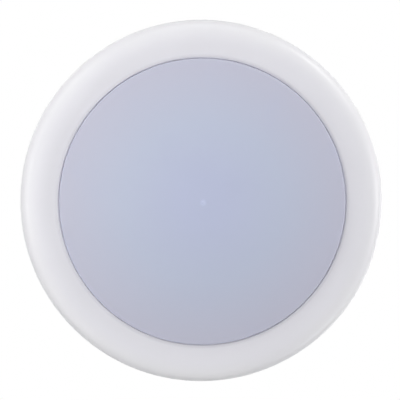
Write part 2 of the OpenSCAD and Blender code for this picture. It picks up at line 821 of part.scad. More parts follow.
module driver_lid() {
    pillar_h = lid_bottom - board_top;
    spigot_r = case_in_r - spigot_gap;
    color(case_grey) difference() {
        union() {
            rotate_extrude() polygon(concat(
                [[0, lid_bottom], [case_r, lid_bottom]],
                [for (i = [0 : 5]) [case_r - lid_edge_r, lid_top - lid_edge_r] + polar(lid_edge_r, 18 * i)],
                [[0, lid_top]]
            ));
            translate([0, 0, lid_bottom - spigot_h]) difference() {
                cylinder(r = spigot_r, h = spigot_h + sink);
                translate([0, 0, -cut]) cylinder(r = spigot_r - case_wall / 2, h = spigot_h + cut);
            }
            around(post_turns, post_circle_r) translate([0, 0, board_top]) cylinder(d = post_d, h = pillar_h + sink);
        }
        around(post_turns, post_circle_r) translate([0, 0, board_top - cut])
            cylinder(d = screw_d + 2 * screw_fit, h = lid_top - board_top + 2 * cut);
        translate([-term_w / 2 - slide_gap, term_y - term_l / 2 - slide_gap, lid_bottom - cut])
            cube([term_w + 2 * slide_gap, term_l + 2 * slide_gap, lid_t + 2 * cut]);
        translate([-slot_l / 2, selector_y - stem_w / 2 - slide_gap, lid_bottom - cut])
            cube([slot_l, stem_w + 2 * slide_gap, lid_t + 2 * cut]);
        selector_marks();
    }
}

// A dimple beside the slot for each selector position
module selector_marks() {
    mark_d = 0.9;
    mark_depth = 0.4;
    mark_y = selector_y + thumb_w / 2 + mark_d;
    for (i = [0 : detent_steps]) translate([i * detent_pitch - selector_travel / 2, mark_y, lid_top - mark_depth])
        cylinder(d = mark_d, h = mark_depth + cut, $fn = 24);
}

module lid_screws() {
    around(post_turns, post_circle_r) translate([0, 0, lid_top]) screw(lid_top - board_bottom + lid_bite);
}

// Driver board and its components

module driver_board() {
    color(board_green) translate([0, 0, board_bottom]) difference() {
        cylinder(r = case_in_r - board_gap, h = driver_board_t);
        around(post_turns, post_circle_r) translate([0, 0, -cut])
            cylinder(d = screw_d + 2 * board_gap, h = driver_board_t + 2 * cut);
    }
}

// A box that hangs under the board: its place and its size are shares of the case's inner radius
// and, for the height, of the bay
module hung_box(place, size) {
    box = [size.x * case_in_r, size.y * case_in_r, size.z * bay_h];
    translate([place.x * case_in_r - box.x / 2, place.y * case_in_r - box.y / 2, board_bottom - box.z])
        cube(box);
}

// A round body that hangs under the board, in the same shares
module hung_round(place, d, h) {
    translate([place.x * case_in_r, place.y * case_in_r, board_bottom - h * bay_h])
        cylinder(d = d * case_in_r, h = h * bay_h, $fn = 48);
}

// A radial can with a sunk end
module hung_can(place, d, h) {
    difference() {
        hung_round(place, d, h);
        translate([0, 0, d - h * bay_h]) hung_round(place, d * 0.75, h);
    }
}

// A drum-wound coil with its two flanges
module hung_coil(place, d, h) {
    flange_h = h / 7;
    hung_round(place, d, flange_h);
    hung_round(place, d * 0.84, h);
    translate([0, 0, (flange_h - h) * bay_h]) hung_round(place, d, flange_h);
}

module transformer() {
    place = [-0.48, 0.14];
    color([0.85, 0.72, 0.2]) {
        hung_box(place, [0.58, 0.38, 0.89]);
        hung_box(place, [0.41, 0.53, 0.71]);
    }
}

module bulk_capacitor() {
    color([0.16, 0.2, 0.28]) hung_can([0.41, 0.34], 0.41, 0.93);
}

module output_capacitor() {
    color([0.16, 0.2, 0.28]) hung_can([-0.34, -0.5], 0.28, 0.86);
}

module film_capacitor() {
    color([0.75, 0.6, 0.1]) hung_box([0.41, -0.19], [0.45, 0.21, 0.71]);
}

module line_choke() {
    color([0.3, 0.32, 0.3]) hung_coil([0.29, -0.57], 0.31, 0.64);
}

module output_inductor() {
    color([0.2, 0.2, 0.2]) hung_coil([-0.05, -0.76], 0.27, 0.57);
}

module bridge_rectifier() {
    color(black) hung_box([0.77, 0.02], [0.17, 0.22, 0.19]);
}

module control_chip() {
    color(black) hung_box([0, 0.29], [0.17, 0.14, 0.11]);
}

module fuse() {
    color([0.3, 0.2, 0.14]) hung_round([-0.22, 0.64], 0.29, 0.57);
}

// Supply terminal

module terminal_block() {
    color(white_plastic) difference() {
        translate([-term_w / 2, term_y - term_l / 2, board_top]) cube([term_w, term_l, term_h]);
        for (x = pole_xs) {
            translate([x - chamber_w / 2, chamber_start, board_top - cut])
                cube([chamber_w, chamber_end - chamber_start, chamber_top - board_top + cut]);
            translate([x, entry_y, chamber_top - cut]) cylinder(d = entry_d, h = term_top - chamber_top + cut);
            translate([x, entry_y, term_top - funnel_h])
                cylinder(d1 = entry_d, d2 = entry_d + 1.2 * funnel_h, h = funnel_h);
            translate([x - button_w / 2 - slide_gap, button_y - button_l / 2 - slide_gap, chamber_top - cut])
                cube([button_w + 2 * slide_gap, button_l + 2 * slide_gap, term_top - chamber_top + 2 * cut]);
        }
    }
}

// The bent spring strip in each chamber, which the button presses
module wire_clamps() {
    strip_w = chamber_w - 2 * press_gap;
    path = [
        [entry_y, clamp_top - 2],
        [chamber_end - press_gap, clamp_top],
        [chamber_end - press_gap, board_top],
        [chamber_start + press_gap, board_top]
    ];
    color(copper) for (x = pole_xs) translate([x - strip_w / 2, 0, 0]) rotate([90, 0, 90])
        linear_extrude(strip_w) polygon(pressed(rounded(path, 2 * clamp_t), clamp_t));
}

// A release button with the hook that keeps it in the block
module release_button(x) {
    translate([x - button_w / 2, button_y - button_l / 2, hook_top - hook_t]) {
        cube([button_w, button_l, term_top + button_proud - hook_top + hook_t]);
        translate([0, -hook_w, 0]) cube([button_w, hook_w + sink, hook_t]);
    }
}

module release_button_line() {
    color([0.9, 0.45, 0.1]) release_button(pole_xs[1]);
}

module release_button_neutral() {
    color([0.9, 0.45, 0.1]) release_button(pole_xs[0]);
}

// Colour selector

module selector_switch() {
    case_l = slot_l + 2 * keeper_margin;
    color([0.7, 0.72, 0.74]) translate([0, selector_y, board_top]) difference() {
        translate([-case_l / 2, -switch_w / 2, 0]) cube([case_l, switch_w, switch_h]);
        translate([-slot_l / 2, -stem_w / 2 - slide_gap, switch_h - stem_depth - slide_gap])
            cube([slot_l, stem_w + 2 * slide_gap, stem_depth + slide_gap + cut]);
    }
}

module selector_slider() {
    stem_bottom = switch_top - stem_depth;
    keeper = [stem_l + 2 * keeper_margin, stem_w + 2 * keeper_margin, keeper_t];
    thumb_bottom = lid_top + press_gap;
    thumb_top = lid_top + thumb_h;
    groove = thumb_h / 4;
    color(black) translate([0, selector_y, 0]) {
        translate([-stem_l / 2, -stem_w / 2, stem_bottom]) cube([stem_l, stem_w, thumb_bottom - stem_bottom + sink]);
        translate([-keeper.x / 2, -keeper.y / 2, lid_bottom - press_gap - keeper_t]) cube(keeper);
        difference() {
            translate([-thumb_l / 2, -thumb_w / 2, thumb_bottom])
                cube([thumb_l, thumb_w, thumb_top - thumb_bottom]);
            for (i = [-1 : 1]) translate([i * thumb_l / 4 - groove / 2, -thumb_w, thumb_top - groove])
                cube([groove, 2 * thumb_w, groove + cut]);
        }
    }
}

mounting_bracket();
earth_screw();
trim_ring();
diffuser_lens();
lens_seal();
reflector_cup();
reflector_sheet();
led_board();
led_chips();
board_connector();
thermal_pad();
board_screws();
back_pan();
pan_screws();
ceiling_gasket();
twist_studs();
driver_case();
case_screws();
driver_lid();
lid_screws();
driver_board();
transformer();
bulk_capacitor();
output_capacitor();
film_capacitor();
line_choke();
output_inductor();
bridge_rectifier();
control_chip();
fuse();
lead_bushing();
lead_positive();
lead_negative();
terminal_block();
wire_clamps();
release_button_line();
release_button_neutral();
selector_switch();
selector_slider();
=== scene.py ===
import json
from math import atan, cos, degrees, pi, radians, sin, sqrt, tan

import bpy
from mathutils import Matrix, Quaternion, Vector, noise


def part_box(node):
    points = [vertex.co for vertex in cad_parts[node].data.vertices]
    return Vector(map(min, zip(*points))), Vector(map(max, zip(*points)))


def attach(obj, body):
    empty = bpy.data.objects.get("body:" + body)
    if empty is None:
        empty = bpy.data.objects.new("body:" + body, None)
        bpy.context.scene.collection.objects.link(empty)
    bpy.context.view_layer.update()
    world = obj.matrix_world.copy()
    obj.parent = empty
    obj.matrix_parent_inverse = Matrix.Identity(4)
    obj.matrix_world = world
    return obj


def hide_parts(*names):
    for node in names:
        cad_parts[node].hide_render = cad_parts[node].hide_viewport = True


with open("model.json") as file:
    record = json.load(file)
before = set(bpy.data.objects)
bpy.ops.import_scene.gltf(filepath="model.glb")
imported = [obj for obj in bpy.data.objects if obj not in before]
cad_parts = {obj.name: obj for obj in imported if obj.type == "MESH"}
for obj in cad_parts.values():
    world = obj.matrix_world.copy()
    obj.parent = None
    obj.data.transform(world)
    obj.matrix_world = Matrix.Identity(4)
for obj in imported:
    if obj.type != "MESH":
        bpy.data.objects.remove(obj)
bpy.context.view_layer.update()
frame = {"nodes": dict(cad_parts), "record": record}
mm = 0.001


class Sock:  # wraps a socket, so that socket maths reads as plain arithmetic
    def __init__(self, paint, socket):
        self.paint = paint
        self.socket = socket

    def __add__(self, other):
        return self.paint.maths("ADD", self, other)

    def __sub__(self, other):
        return self.paint.maths("SUBTRACT", self, other)

    def __rsub__(self, other):
        return self.paint.maths("SUBTRACT", other, self)

    def __mul__(self, other):
        return self.paint.maths("MULTIPLY", self, other)

    def __truediv__(self, other):
        return self.paint.maths("DIVIDE", self, other)

    __radd__ = __add__


class Paint:  # one material: its nodes and the ways to join them
    def __init__(self, name):
        self.material = bpy.data.materials.new(name)
        self.material.use_nodes = True
        self.tree = self.material.node_tree
        self.tree.nodes.clear()
        self.place = self.node("ShaderNodeTexCoord", out="Object")

    def node(self, kind, settings=None, values=None, out=0):
        made = self.tree.nodes.new(kind)
        for key, value in (settings or {}).items():
            if key == "stops":
                self.setStops(made.color_ramp, value)
            else:
                setattr(made, key, value)
        for key, value in (values or {}).items():
            if isinstance(value, Sock):
                self.tree.links.new(value.socket, made.inputs[key])
            else:
                made.inputs[key].default_value = value
        return Sock(self, made.outputs[out])

    def setStops(self, ramp, stops):  # stops are (place, colour) pairs
        while len(ramp.elements) < len(stops):
            ramp.elements.new(0.5)
        for element, (at, colour) in zip(ramp.elements, stops):
            element.position = at
            element.color = rgba(colour)

    def maths(self, operation, a, b=0.0):
        return self.node("ShaderNodeMath", {"operation": operation}, {0: a, 1: b})

    def stretched(self, x, y, z):  # the place with each axis scaled
        settings = {"operation": "MULTIPLY"}
        return self.node("ShaderNodeVectorMath", settings, {0: self.place, 1: (x, y, z)})

    def radius(self):  # distance from the light's axis, in metres
        settings = {"operation": "LENGTH"}
        return self.node("ShaderNodeVectorMath", settings, {0: self.stretched(1, 1, 0)}, "Value")

    def along(self, axis):  # one coordinate of the place
        return self.node("ShaderNodeSeparateXYZ", None, {0: self.place}, axis)

    def cloud(self, size, detail=3.0, stretch=(1, 1, 1), rough=0.55):  # noise, its grains' size in metres
        values = {"Vector": self.stretched(*stretch), "Scale": 1 / size, "Detail": detail, "Roughness": rough}
        return self.node("ShaderNodeTexNoise", None, values, "Fac")

    def cells(self, size, feature="F1"):
        values = {"Vector": self.place, "Scale": 1 / size}
        return self.node("ShaderNodeTexVoronoi", {"feature": feature}, values, "Distance")

    def ramp(self, factor, *stops):
        return self.node("ShaderNodeValToRGB", {"stops": stops}, {"Fac": factor}, "Color")

    def step(self, value, low, high):  # 0 below low, 1 above high
        settings = {"interpolation_type": "SMOOTHSTEP"}
        return self.node("ShaderNodeMapRange", settings, {"Value": value, "From Min": low, "From Max": high})

    def mix(self, a, b, factor):  # two colours, which the node has at sockets 6 and 7
        first, second = (c if isinstance(c, Sock) else rgba(c) for c in (a, b))
        return self.node("ShaderNodeMix", {"data_type": "RGBA"}, {0: factor, 6: first, 7: second}, 2)

    def bevel(self, width):
        return self.node("ShaderNodeBevel", {"samples": 4}, {"Radius": width})

    def bump(self, height, depth, normal=None):
        values = {"Height": height, "Strength": 1.0, "Distance": depth}
        if normal:
            values["Normal"] = normal
        return self.node("ShaderNodeBump", None, values)

    def surface(self, constants, links):  # ends the material in one shader
        made = self.tree.nodes.new("ShaderNodeBsdfPrincipled")
        for key, value in constants.items():
            made.inputs[key].default_value = value
        for key, value in links.items():
            self.tree.links.new(value.socket, made.inputs[key])
        end = self.tree.nodes.new("ShaderNodeOutputMaterial")
        self.tree.links.new(made.outputs[0], end.inputs["Surface"])
        return self.material


def rgba(colour):
    return (*colour, 1.0) if len(colour) == 3 else colour


def shade(colour, factor):  # a darker or lighter version of a colour
    return tuple(min(1.0, c * factor) for c in colour)


# moulded plastic: grain is the mould's texture, mottle the flow of the resin, edge the worn rounding
mouldedLook = {
    "roughness": 0.42, "spread": 0.12, "gloss": 0.5, "grain": 0.35 * mm, "grainRough": 0.08,
    "depth": 0.012 * mm, "edge": 0.25 * mm, "mottle": 0.03, "lighter": 0.6, "flow": 18 * mm,
    "smudge": 45 * mm,
}


def moulded(name, colour, **changes):
    look = {**mouldedLook, **changes}
    p = Paint(name)
    flow = p.cloud(look["flow"], detail=4)
    grain = p.cloud(look["grain"], detail=2)
    smudge = p.cloud(look["smudge"], detail=5, rough=0.7)
    tint = p.mix(shade(colour, 1 - look["mottle"]), shade(colour, 1 + look["mottle"] * look["lighter"]), flow)
    rough = look["roughness"] + (smudge - 0.5) * look["spread"] + (grain - 0.5) * look["grainRough"]
    relief = p.bump(grain, look["depth"], p.bevel(look["edge"]))
    return p.surface(
        {"Specular IOR Level": look["gloss"]},
        {"Base Color": tint, "Roughness": rough, "Normal": relief},
    )


# pressed or turned metal: its streaks run along the axis with the least factor in streak, tint is the share
# of the plating's second colour; here and below, a range gives the two values between which a patch fades in
metalLook = {
    "roughness": 0.34, "spread": 0.16, "streak": (1, 26, 26), "streakSize": 9 * mm, "patch": 14 * mm,
    "patchRange": (0.35, 0.7), "tint": 0.35, "wearRange": (0.55, 0.85), "wear": 0.5, "wearShade": 0.72,
    "spots": 2.2 * mm, "spotRough": 0.06, "spotDepth": 0.3, "depth": 0.01 * mm, "edge": 0.2 * mm,
}


def metal(name, colour, second, **changes):
    look = {**metalLook, **changes}
    p = Paint(name)
    streak = p.cloud(look["streakSize"], detail=5, stretch=look["streak"], rough=0.65)
    patch = p.cloud(look["patch"], detail=4)
    spot = p.cells(look["spots"])
    plated = p.mix(colour, second, p.step(patch, *look["patchRange"]) * look["tint"])
    wear = p.step(streak, *look["wearRange"]) * look["wear"]
    worn = p.mix(plated, shade(colour, look["wearShade"]), wear)
    rough = look["roughness"] + (streak - 0.5) * look["spread"] + spot * look["spotRough"]
    relief = p.bump(streak + spot * look["spotDepth"], look["depth"], p.bevel(look["edge"]))
    return p.surface({"Metallic": 1.0}, {"Base Color": worn, "Roughness": rough, "Normal": relief})


# soft rubbers and lead insulation, with dust in patches
rubberLook = {
    "roughness": 0.6, "grain": 0.5 * mm, "depth": 0.02 * mm, "grainRough": 0.1, "edge": 0.2 * mm,
    "dust": 0.12, "dustSize": 9 * mm, "dustRange": (0.45, 0.75), "dustColour": (0.45, 0.44, 0.42),
    "dustRough": 0.15, "gloss": 0.4,
}


def rubber(name, colour, **changes):
    look = {**rubberLook, **changes}
    p = Paint(name)
    grain = p.cloud(look["grain"], detail=3)
    dust = p.step(p.cloud(look["dustSize"], detail=6, rough=0.7), *look["dustRange"])
    tint = p.mix(colour, look["dustColour"], dust * look["dust"])
    rough = look["roughness"] + dust * look["dustRough"] + (grain - 0.5) * look["grainRough"]
    relief = p.bump(grain, look["depth"], p.bevel(look["edge"]))
    return p.surface(
        {"Specular IOR Level": look["gloss"]},
        {"Base Color": tint, "Roughness": rough, "Normal": relief},
    )


# circuit board under solder mask: tracks show through it as raised paths between the cells
boardLook = {
    "roughness": 0.32, "spread": 0.15, "coat": 0.3, "coatRough": 0.2, "tracks": 4.2 * mm,
    "trackRange": (0.16, 0.2), "speck": 0.6 * mm, "speckRange": (0.6, 0.8), "speckShade": 0.8,
    "speckShare": 0.3, "depth": 0.03 * mm, "edge": 0.1 * mm,
}


def circuitBoard(name, mask, track):
    look = boardLook
    p = Paint(name)
    path = p.step(p.cells(look["tracks"], "DISTANCE_TO_EDGE"), *look["trackRange"])
    speck = p.cloud(look["speck"], detail=2)
    specked = p.step(speck, *look["speckRange"]) * look["speckShare"]
    tint = p.mix(track, mask, path)
    tint = p.mix(tint, shade(mask, look["speckShade"]), specked)
    relief = p.bump(1 - path, look["depth"], p.bevel(look["edge"]))
    rough = look["roughness"] + speck * look["spread"]
    return p.surface(
        {"Coat Weight": look["coat"], "Coat Roughness": look["coatRough"]},
        {"Base Color": tint, "Roughness": rough, "Normal": relief},
    )


# tape, sleeves and windings: bands lie across one axis
bandLook = {
    "roughness": 0.4, "spread": 0.2, "metallic": 0.0, "pitch": 0.6 * mm, "depth": 0.06 * mm,
    "edge": 0.15 * mm, "unevenSize": 3 * mm, "uneven": 0.4,
}


def banded(name, colour, second, axis, **changes):
    look = {**bandLook, **changes}
    p = Paint(name)
    turns = p.maths("SINE", p.along(axis) * (2 * pi / look["pitch"])) * 0.5 + 0.5
    uneven = p.cloud(look["unevenSize"], detail=3)
    tint = p.mix(colour, second, turns * (1 - look["uneven"]) + uneven * look["uneven"])
    rough = look["roughness"] + uneven * look["spread"]
    relief = p.bump(turns + uneven * look["uneven"], look["depth"], p.bevel(look["edge"]))
    return p.surface(
        {"Metallic": look["metallic"]},
        {"Base Color": tint, "Roughness": rough, "Normal": relief},
    )


# closed-cell foam: cut cells pit its faces, with painted shade in the pits and painted light on the rims
# between them
foamLook = {
    "roughness": 0.85, "spread": 0.12, "cell": 0.9 * mm, "smallCell": 0.4 * mm, "smallDepth": 0.4,
    "depth": 0.25 * mm, "dark": 0.55, "light": 1.5, "dust": 0.12, "dustSize": 12 * mm,
    "dustRange": (0.4, 0.8), "dustColour": (0.3, 0.29, 0.28), "gloss": 0.25,
}


def closedCellFoam(name, colour):
    look = foamLook
    p = Paint(name)
    cell = p.cells(look["cell"])
    small = p.cells(look["smallCell"])
    dust = p.step(p.cloud(look["dustSize"], detail=6, rough=0.7), *look["dustRange"])
    # painted shade in each cell's pit and painted light on its rim, following the cells of the bump
    tint = p.mix(shade(colour, look["dark"]), shade(colour, look["light"]), cell)
    tint = p.mix(tint, look["dustColour"], dust * look["dust"])
    rough = look["roughness"] + cell * look["spread"]
    relief = p.bump(cell + small * look["smallDepth"], look["depth"])
    return p.surface(
        {"Specular IOR Level": look["gloss"]},
        {"Base Color": tint, "Roughness": rough, "Normal": relief},
    )


# opal acrylic: bluish in the middle, greyer towards its edge, and lighter on the gate mark; the
# colours' places are shares of the radius
opalLook = {
    "centre": (0.5, 0.54, 0.71), "middle": (0.502, 0.545, 0.68), "edge": (0.514, 0.521, 0.63),
    "centreAt": 0.15, "middleAt": 0.55, "edgeAt": 0.95, "radius": 74.2 * mm, "roughness": 0.5, "gloss": 0.4,
    "grain": 0.9 * mm, "depth": 0.006 * mm, "grainRough": 0.05, "cloud": 30 * mm, "cloudRange": (0.5, 0.8),
    "cloudShade": 0.94, "cloudShare": 0.25, "cloudRough": 0.08,
    "gateRange": (0.4 * mm, 2.2 * mm), "gateShade": 1.13,
}


def opalAcrylic(name, look):
    p = Paint(name)
    cloudy = p.cloud(look["cloud"], detail=4)
    stops = [(look[zone + "At"], look[zone]) for zone in ("centre", "middle", "edge")]
    tint = p.ramp(p.radius() / look["radius"], *stops)
    milky = p.step(cloudy, *look["cloudRange"]) * look["cloudShare"]
    tint = p.mix(tint, shade(look["centre"], look["cloudShade"]), milky)
    gateMark = 1 - p.step(p.radius(), *look["gateRange"])
    tint = p.mix(tint, shade(look["centre"], look["gateShade"]), gateMark)
    grain = p.cloud(look["grain"], detail=2)
    rough = look["roughness"] + (cloudy - 0.5) * look["cloudRough"] + (grain - 0.5) * look["grainRough"]
    return p.surface(
        {"Specular IOR Level": look["gloss"]},
        {"Base Color": tint, "Roughness": rough, "Normal": p.bump(grain, look["depth"])},
    )


# white moulded trim: faint flow lines, a fine satin texture, a side painted greyer towards the ceiling as
# painted shade, and a ring of painted shade in the corner where the band meets the proud lens
trimLook = {
    "colour": (0.789, 0.783, 0.828), "rim": (0.797, 0.794, 0.814), "rimStart": 83 * mm, "rimFull": 93 * mm,
    "roughness": 0.4, "gloss": 0.4, "grain": 0.45 * mm, "depth": 0.008 * mm, "grainRough": 0.06,
    "flow": 40 * mm, "flowRange": (0.3, 0.7), "flowShade": 0.96, "flowShare": 0.4, "flowDepth": 2,
    "smudge": 22 * mm, "smudgeRange": (0.5, 0.75), "smudgeRough": 0.1,
    "side": 0.84, "sideShadeStart": -17.5 * mm, "sideShadeFull": -9 * mm,
    "dust": 0.89, "dustStart": 74.7 * mm, "dustFull": 75.3 * mm, "dustEnd": 76.9 * mm,
}


def trimPlastic(name, look):
    p = Paint(name)
    flow = p.cloud(look["flow"], detail=5, rough=0.5)
    grain = p.cloud(look["grain"], detail=2)
    smudge = p.step(p.cloud(look["smudge"], detail=6, rough=0.7), *look["smudgeRange"])
    tint = p.mix(look["colour"], look["rim"], p.step(p.radius(), look["rimStart"], look["rimFull"]))
    lines = p.step(flow, *look["flowRange"]) * look["flowShare"]
    tint = p.mix(tint, shade(look["colour"], look["flowShade"]), lines)
    # painted shade: the side turns greyer towards the ceiling, where the ceiling would shade it
    side = p.step(p.along("Z"), look["sideShadeStart"], look["sideShadeFull"])
    tint = p.mix(tint, shade(look["rim"], look["side"]), side)
    # painted shade: a narrow ring just outside the lens, darker where the proud lens shades the band
    dust = p.step(p.radius(), look["dustStart"], look["dustFull"])
    dust = dust * (1 - p.step(p.radius(), look["dustFull"], look["dustEnd"]))
    tint = p.mix(tint, shade(look["colour"], look["dust"]), dust)
    rough = look["roughness"] + smudge * look["smudgeRough"] + (grain - 0.5) * look["grainRough"]
    relief = p.bump(grain + flow * look["flowDepth"], look["depth"])
    return p.surface(
        {"Specular IOR Level": look["gloss"]},
        {"Base Color": tint, "Roughness": rough, "Normal": relief},
    )


# LED chip: yellow phosphor in a white frame, which starts behind its face
chipLook = {
    "roughness": 0.35, "spread": 0.2, "coat": 0.5, "coatRough": 0.1, "grain": 0.25 * mm, "depth": 0.02 * mm,
    "edge": 0.15 * mm, "spots": 3 * mm, "spotRange": (0.2, 0.7), "spotShade": 0.8,
    "frameRange": (-10.5 * mm, -10.3 * mm),
}


def chipPhosphor(name, phosphor, body):
    look = chipLook
    p = Paint(name)
    grain = p.cloud(look["grain"], detail=2)
    spot = p.step(p.cells(look["spots"]), *look["spotRange"])
    tint = p.mix(phosphor, shade(phosphor, look["spotShade"]), spot)
    tint = p.mix(tint, body, p.step(p.along("Z"), *look["frameRange"]))
    rough = look["roughness"] + grain * look["spread"]
    relief = p.bump(grain, look["depth"], p.bevel(look["edge"]))
    return p.surface(
        {"Coat Weight": look["coat"], "Coat Roughness": look["coatRough"]},
        {"Base Color": tint, "Roughness": rough, "Normal": relief},
    )


alongShank = (9, 9, 1)  # streaks run along an upright shank
roundStud = (4, 4, 30)  # and round an upright stud, as turning leaves them
finishes = {
    "zinc_steel": lambda n: metal(n, (0.66, 0.67, 0.69), (0.62, 0.61, 0.52)),
    "green_screw": lambda n: metal(n, (0.05, 0.34, 0.12), (0.1, 0.4, 0.12), streak=alongShank,
                                   roughness=0.3),
    "white_trim": lambda n: trimPlastic(n, trimLook),
    "opal_lens": lambda n: opalAcrylic(n, opalLook),
    "silicone": lambda n: rubber(n, (0.7, 0.7, 0.67), dust=0.05),
    "white_inner": lambda n: moulded(n, (0.82, 0.82, 0.81)),
    "white_sheet": lambda n: moulded(n, (0.86, 0.86, 0.85), roughness=0.6, grain=0.15 * mm, edge=0.05 * mm),
    "board_white": lambda n: circuitBoard(n, (0.82, 0.83, 0.82), (0.74, 0.75, 0.74)),
    "chip_phosphor": lambda n: chipPhosphor(n, (0.85, 0.66, 0.16), (0.85, 0.84, 0.8)),
    "connector_ivory": lambda n: moulded(n, (0.8, 0.77, 0.68), roughness=0.35),
    "thermal_pad": lambda n: rubber(n, (0.32, 0.38, 0.45), roughness=0.75, dust=0.02),
    "screw_steel": lambda n: metal(n, (0.64, 0.65, 0.67), (0.6, 0.57, 0.45), streak=alongShank,
                                   streakSize=4 * mm),
    "pan_aluminium": lambda n: metal(n, (0.78, 0.79, 0.8), (0.72, 0.73, 0.76), roughness=0.38, tint=0.25),
    "black_foam": lambda n: closedCellFoam(n, (0.035, 0.035, 0.038)),
    "stud_steel": lambda n: metal(n, (0.68, 0.68, 0.69), (0.6, 0.58, 0.5), streak=roundStud, roughness=0.28),
    "case_plastic": lambda n: moulded(n, (0.74, 0.74, 0.71)),
    "lid_plastic": lambda n: moulded(n, (0.75, 0.75, 0.72), grain=0.6 * mm, depth=0.03 * mm, roughness=0.5),
    "board_green": lambda n: circuitBoard(n, (0.02, 0.14, 0.06), (0.04, 0.22, 0.1)),
    "winding_tape": lambda n: banded(n, (0.72, 0.5, 0.06), (0.55, 0.36, 0.03), "Z", pitch=3 * mm,
                                     depth=0.03 * mm),
    "capacitor_sleeve": lambda n: moulded(n, (0.03, 0.05, 0.1), roughness=0.25, mottle=0.2),
    "film_body": lambda n: moulded(n, (0.55, 0.36, 0.02), roughness=0.2, mottle=0.1),
    "winding_copper": lambda n: banded(n, (0.5, 0.18, 0.05), (0.2, 0.06, 0.02), "Z", metallic=0.6),
    "ferrite": lambda n: moulded(n, (0.04, 0.04, 0.045), roughness=0.7, grain=0.2 * mm, mottle=0.2),
    "chip_black": lambda n: moulded(n, (0.018, 0.018, 0.02), roughness=0.5, grain=0.15 * mm, mottle=0.15),
    "fuse_brown": lambda n: moulded(n, (0.09, 0.035, 0.015), roughness=0.35, mottle=0.15),
    "bushing_rubber": lambda n: rubber(n, (0.02, 0.02, 0.021)),
    "lead_red": lambda n: rubber(n, (0.55, 0.02, 0.015), roughness=0.4, dust=0.04),
    "lead_black": lambda n: rubber(n, (0.015, 0.015, 0.016), roughness=0.4, dust=0.04),
    "terminal_white": lambda n: moulded(n, (0.8, 0.8, 0.79), roughness=0.38, grain=0.25 * mm),
    "clamp_copper": lambda n: metal(n, (0.78, 0.42, 0.24), (0.6, 0.28, 0.14), roughness=0.28),
    "button_orange": lambda n: moulded(n, (0.8, 0.2, 0.02), roughness=0.33, mottle=0.06),
    "switch_steel": lambda n: metal(n, (0.7, 0.71, 0.72), (0.62, 0.62, 0.6), roughness=0.25, spots=1 * mm),
    "slider_black": lambda n: moulded(n, (0.02, 0.02, 0.022), roughness=0.45, mottle=0.2),
}
paints = {name: make(name) for name, make in finishes.items()}
slotOf = {row["node"]: row["material_slot"] for row in frame["record"]["subparts"]}
for nodeName, node in frame["nodes"].items():
    node.data.materials.clear()
    node.data.materials.append(paints[slotOf[nodeName]])
print("finishes made:", len(paints))


def place(r, turn):  # a point at a radius and a turn in degrees
    return r * cos(radians(turn)), r * sin(radians(turn))


def lathe(profile, segments):  # a closed outline of (r, z), or one that changes with the turn
    points, faces = [], []
    for i in range(segments):
        turn = 360 * i / segments
        outline = profile(turn) if callable(profile) else profile
        points += [(*place(r, turn), z) for r, z in outline]
    count = len(outline)
    for i in range(segments):
        here, there = i * count, (i + 1) % segments * count
        for k in range(count):
            following = (k + 1) % count
            faces.append((here + k, there + k, there + following, here + following))
    return points, faces


def joined(*parts):  # several (points, faces) as one
    points, faces = [], []
    for morePoints, moreFaces in parts:
        start = len(points)
        points += morePoints
        faces += [tuple(start + i for i in face) for face in moreFaces]
    return points, faces


def piece(name, shape, body, slotName, smooth=30.0):  # edges sharper than smooth, in degrees, stay sharp
    points, faces = shape
    mesh = bpy.data.meshes.new(name)
    mesh.from_pydata(points, [], faces)
    mesh.validate()
    mesh.materials.append(paints[slotName])
    mesh.shade_smooth()
    mesh.set_sharp_from_angle(angle=radians(smooth))
    made = bpy.data.objects.new(name, mesh)
    bpy.context.collection.objects.link(made)
    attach(made, body)
    return made


def arc(centre, radius, first, last, steps):  # points (r, z) along an arc, angles in degrees
    turns = [first + (last - first) * i / steps for i in range(steps + 1)]
    return [(centre[0] + radius * cos(radians(t)), centre[1] + radius * sin(radians(t))) for t in turns]


def tube(x, y, inner, outer, low, high, segments):  # a round boss with its bore
    points, faces = lathe([(inner, low), (outer, low), (outer, high), (inner, high)], segments)
    return [(px + x, py + y, pz) for px, py, pz in points], faces


# trim ring: the flat band, the rolled shoulder, the lip round the lens and the moulding behind them; overlap
# is how far ribs, collar and bosses reach into the wall
trim = {
    "band": 20.8 * mm, "wall": 2.4 * mm, "lip": 1 * mm, "lensGap": 0.15 * mm, "rimGap": 0.6 * mm,
    "power": 4.5, "flange": 3.8 * mm, "keyGap": 0.4 * mm, "rib": 1.6 * mm, "ribs": 12, "collar": 4 * mm,
    "overlap": 0.2 * mm, "boss": 3.2 * mm, "bore": 1.52 * mm, "bossGap": 1 * mm,
    "bossTurns": (45, 135, 225, 315), "bossSegments": 48, "panRim": 5.5 * mm, "segments": 360,
    "shoulderSteps": 72, "insideSteps": 48, "lipSteps": 14, "ribSteps": 16, "collarSteps": 24,
}
keys = {"width": 8 * mm, "turns": (75, 195, 315)}  # the lens's locating keys, in the collar's gaps
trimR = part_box("trim_ring")[1].x
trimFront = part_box("trim_ring")[0].z
lensR = trimR - trim["band"]
apertureR = lensR + trim["lensGap"]
bandR = apertureR + trim["lip"]
bandBack = trimFront + trim["wall"]
flangeR = lensR + trim["flange"]
collarIn = flangeR + trim["keyGap"]
collarOut = collarIn + trim["rib"]
wallR = trimR - trim["wall"]


def shoulder(start, end, crest, foot, steps):  # superellipse from its crest at start to its foot at end
    power = trim["power"]
    path = []
    for i in range(steps + 1):
        a = pi / 2 * i / steps
        reach = (sin(a) ** power + cos(a) ** power) ** (-1 / power)
        path.append((start + (end - start) * sin(a) * reach, foot + (crest - foot) * cos(a) * reach))
    return path


def wallInside(r):  # height of the trim's inner face at a radius
    power = trim["power"]
    share = min(max(0.0, (r - collarOut) / (wallR - collarOut)), 1)
    return -trim["rimGap"] + (bandBack + trim["rimGap"]) * (1 - share ** power) ** (1 / power)


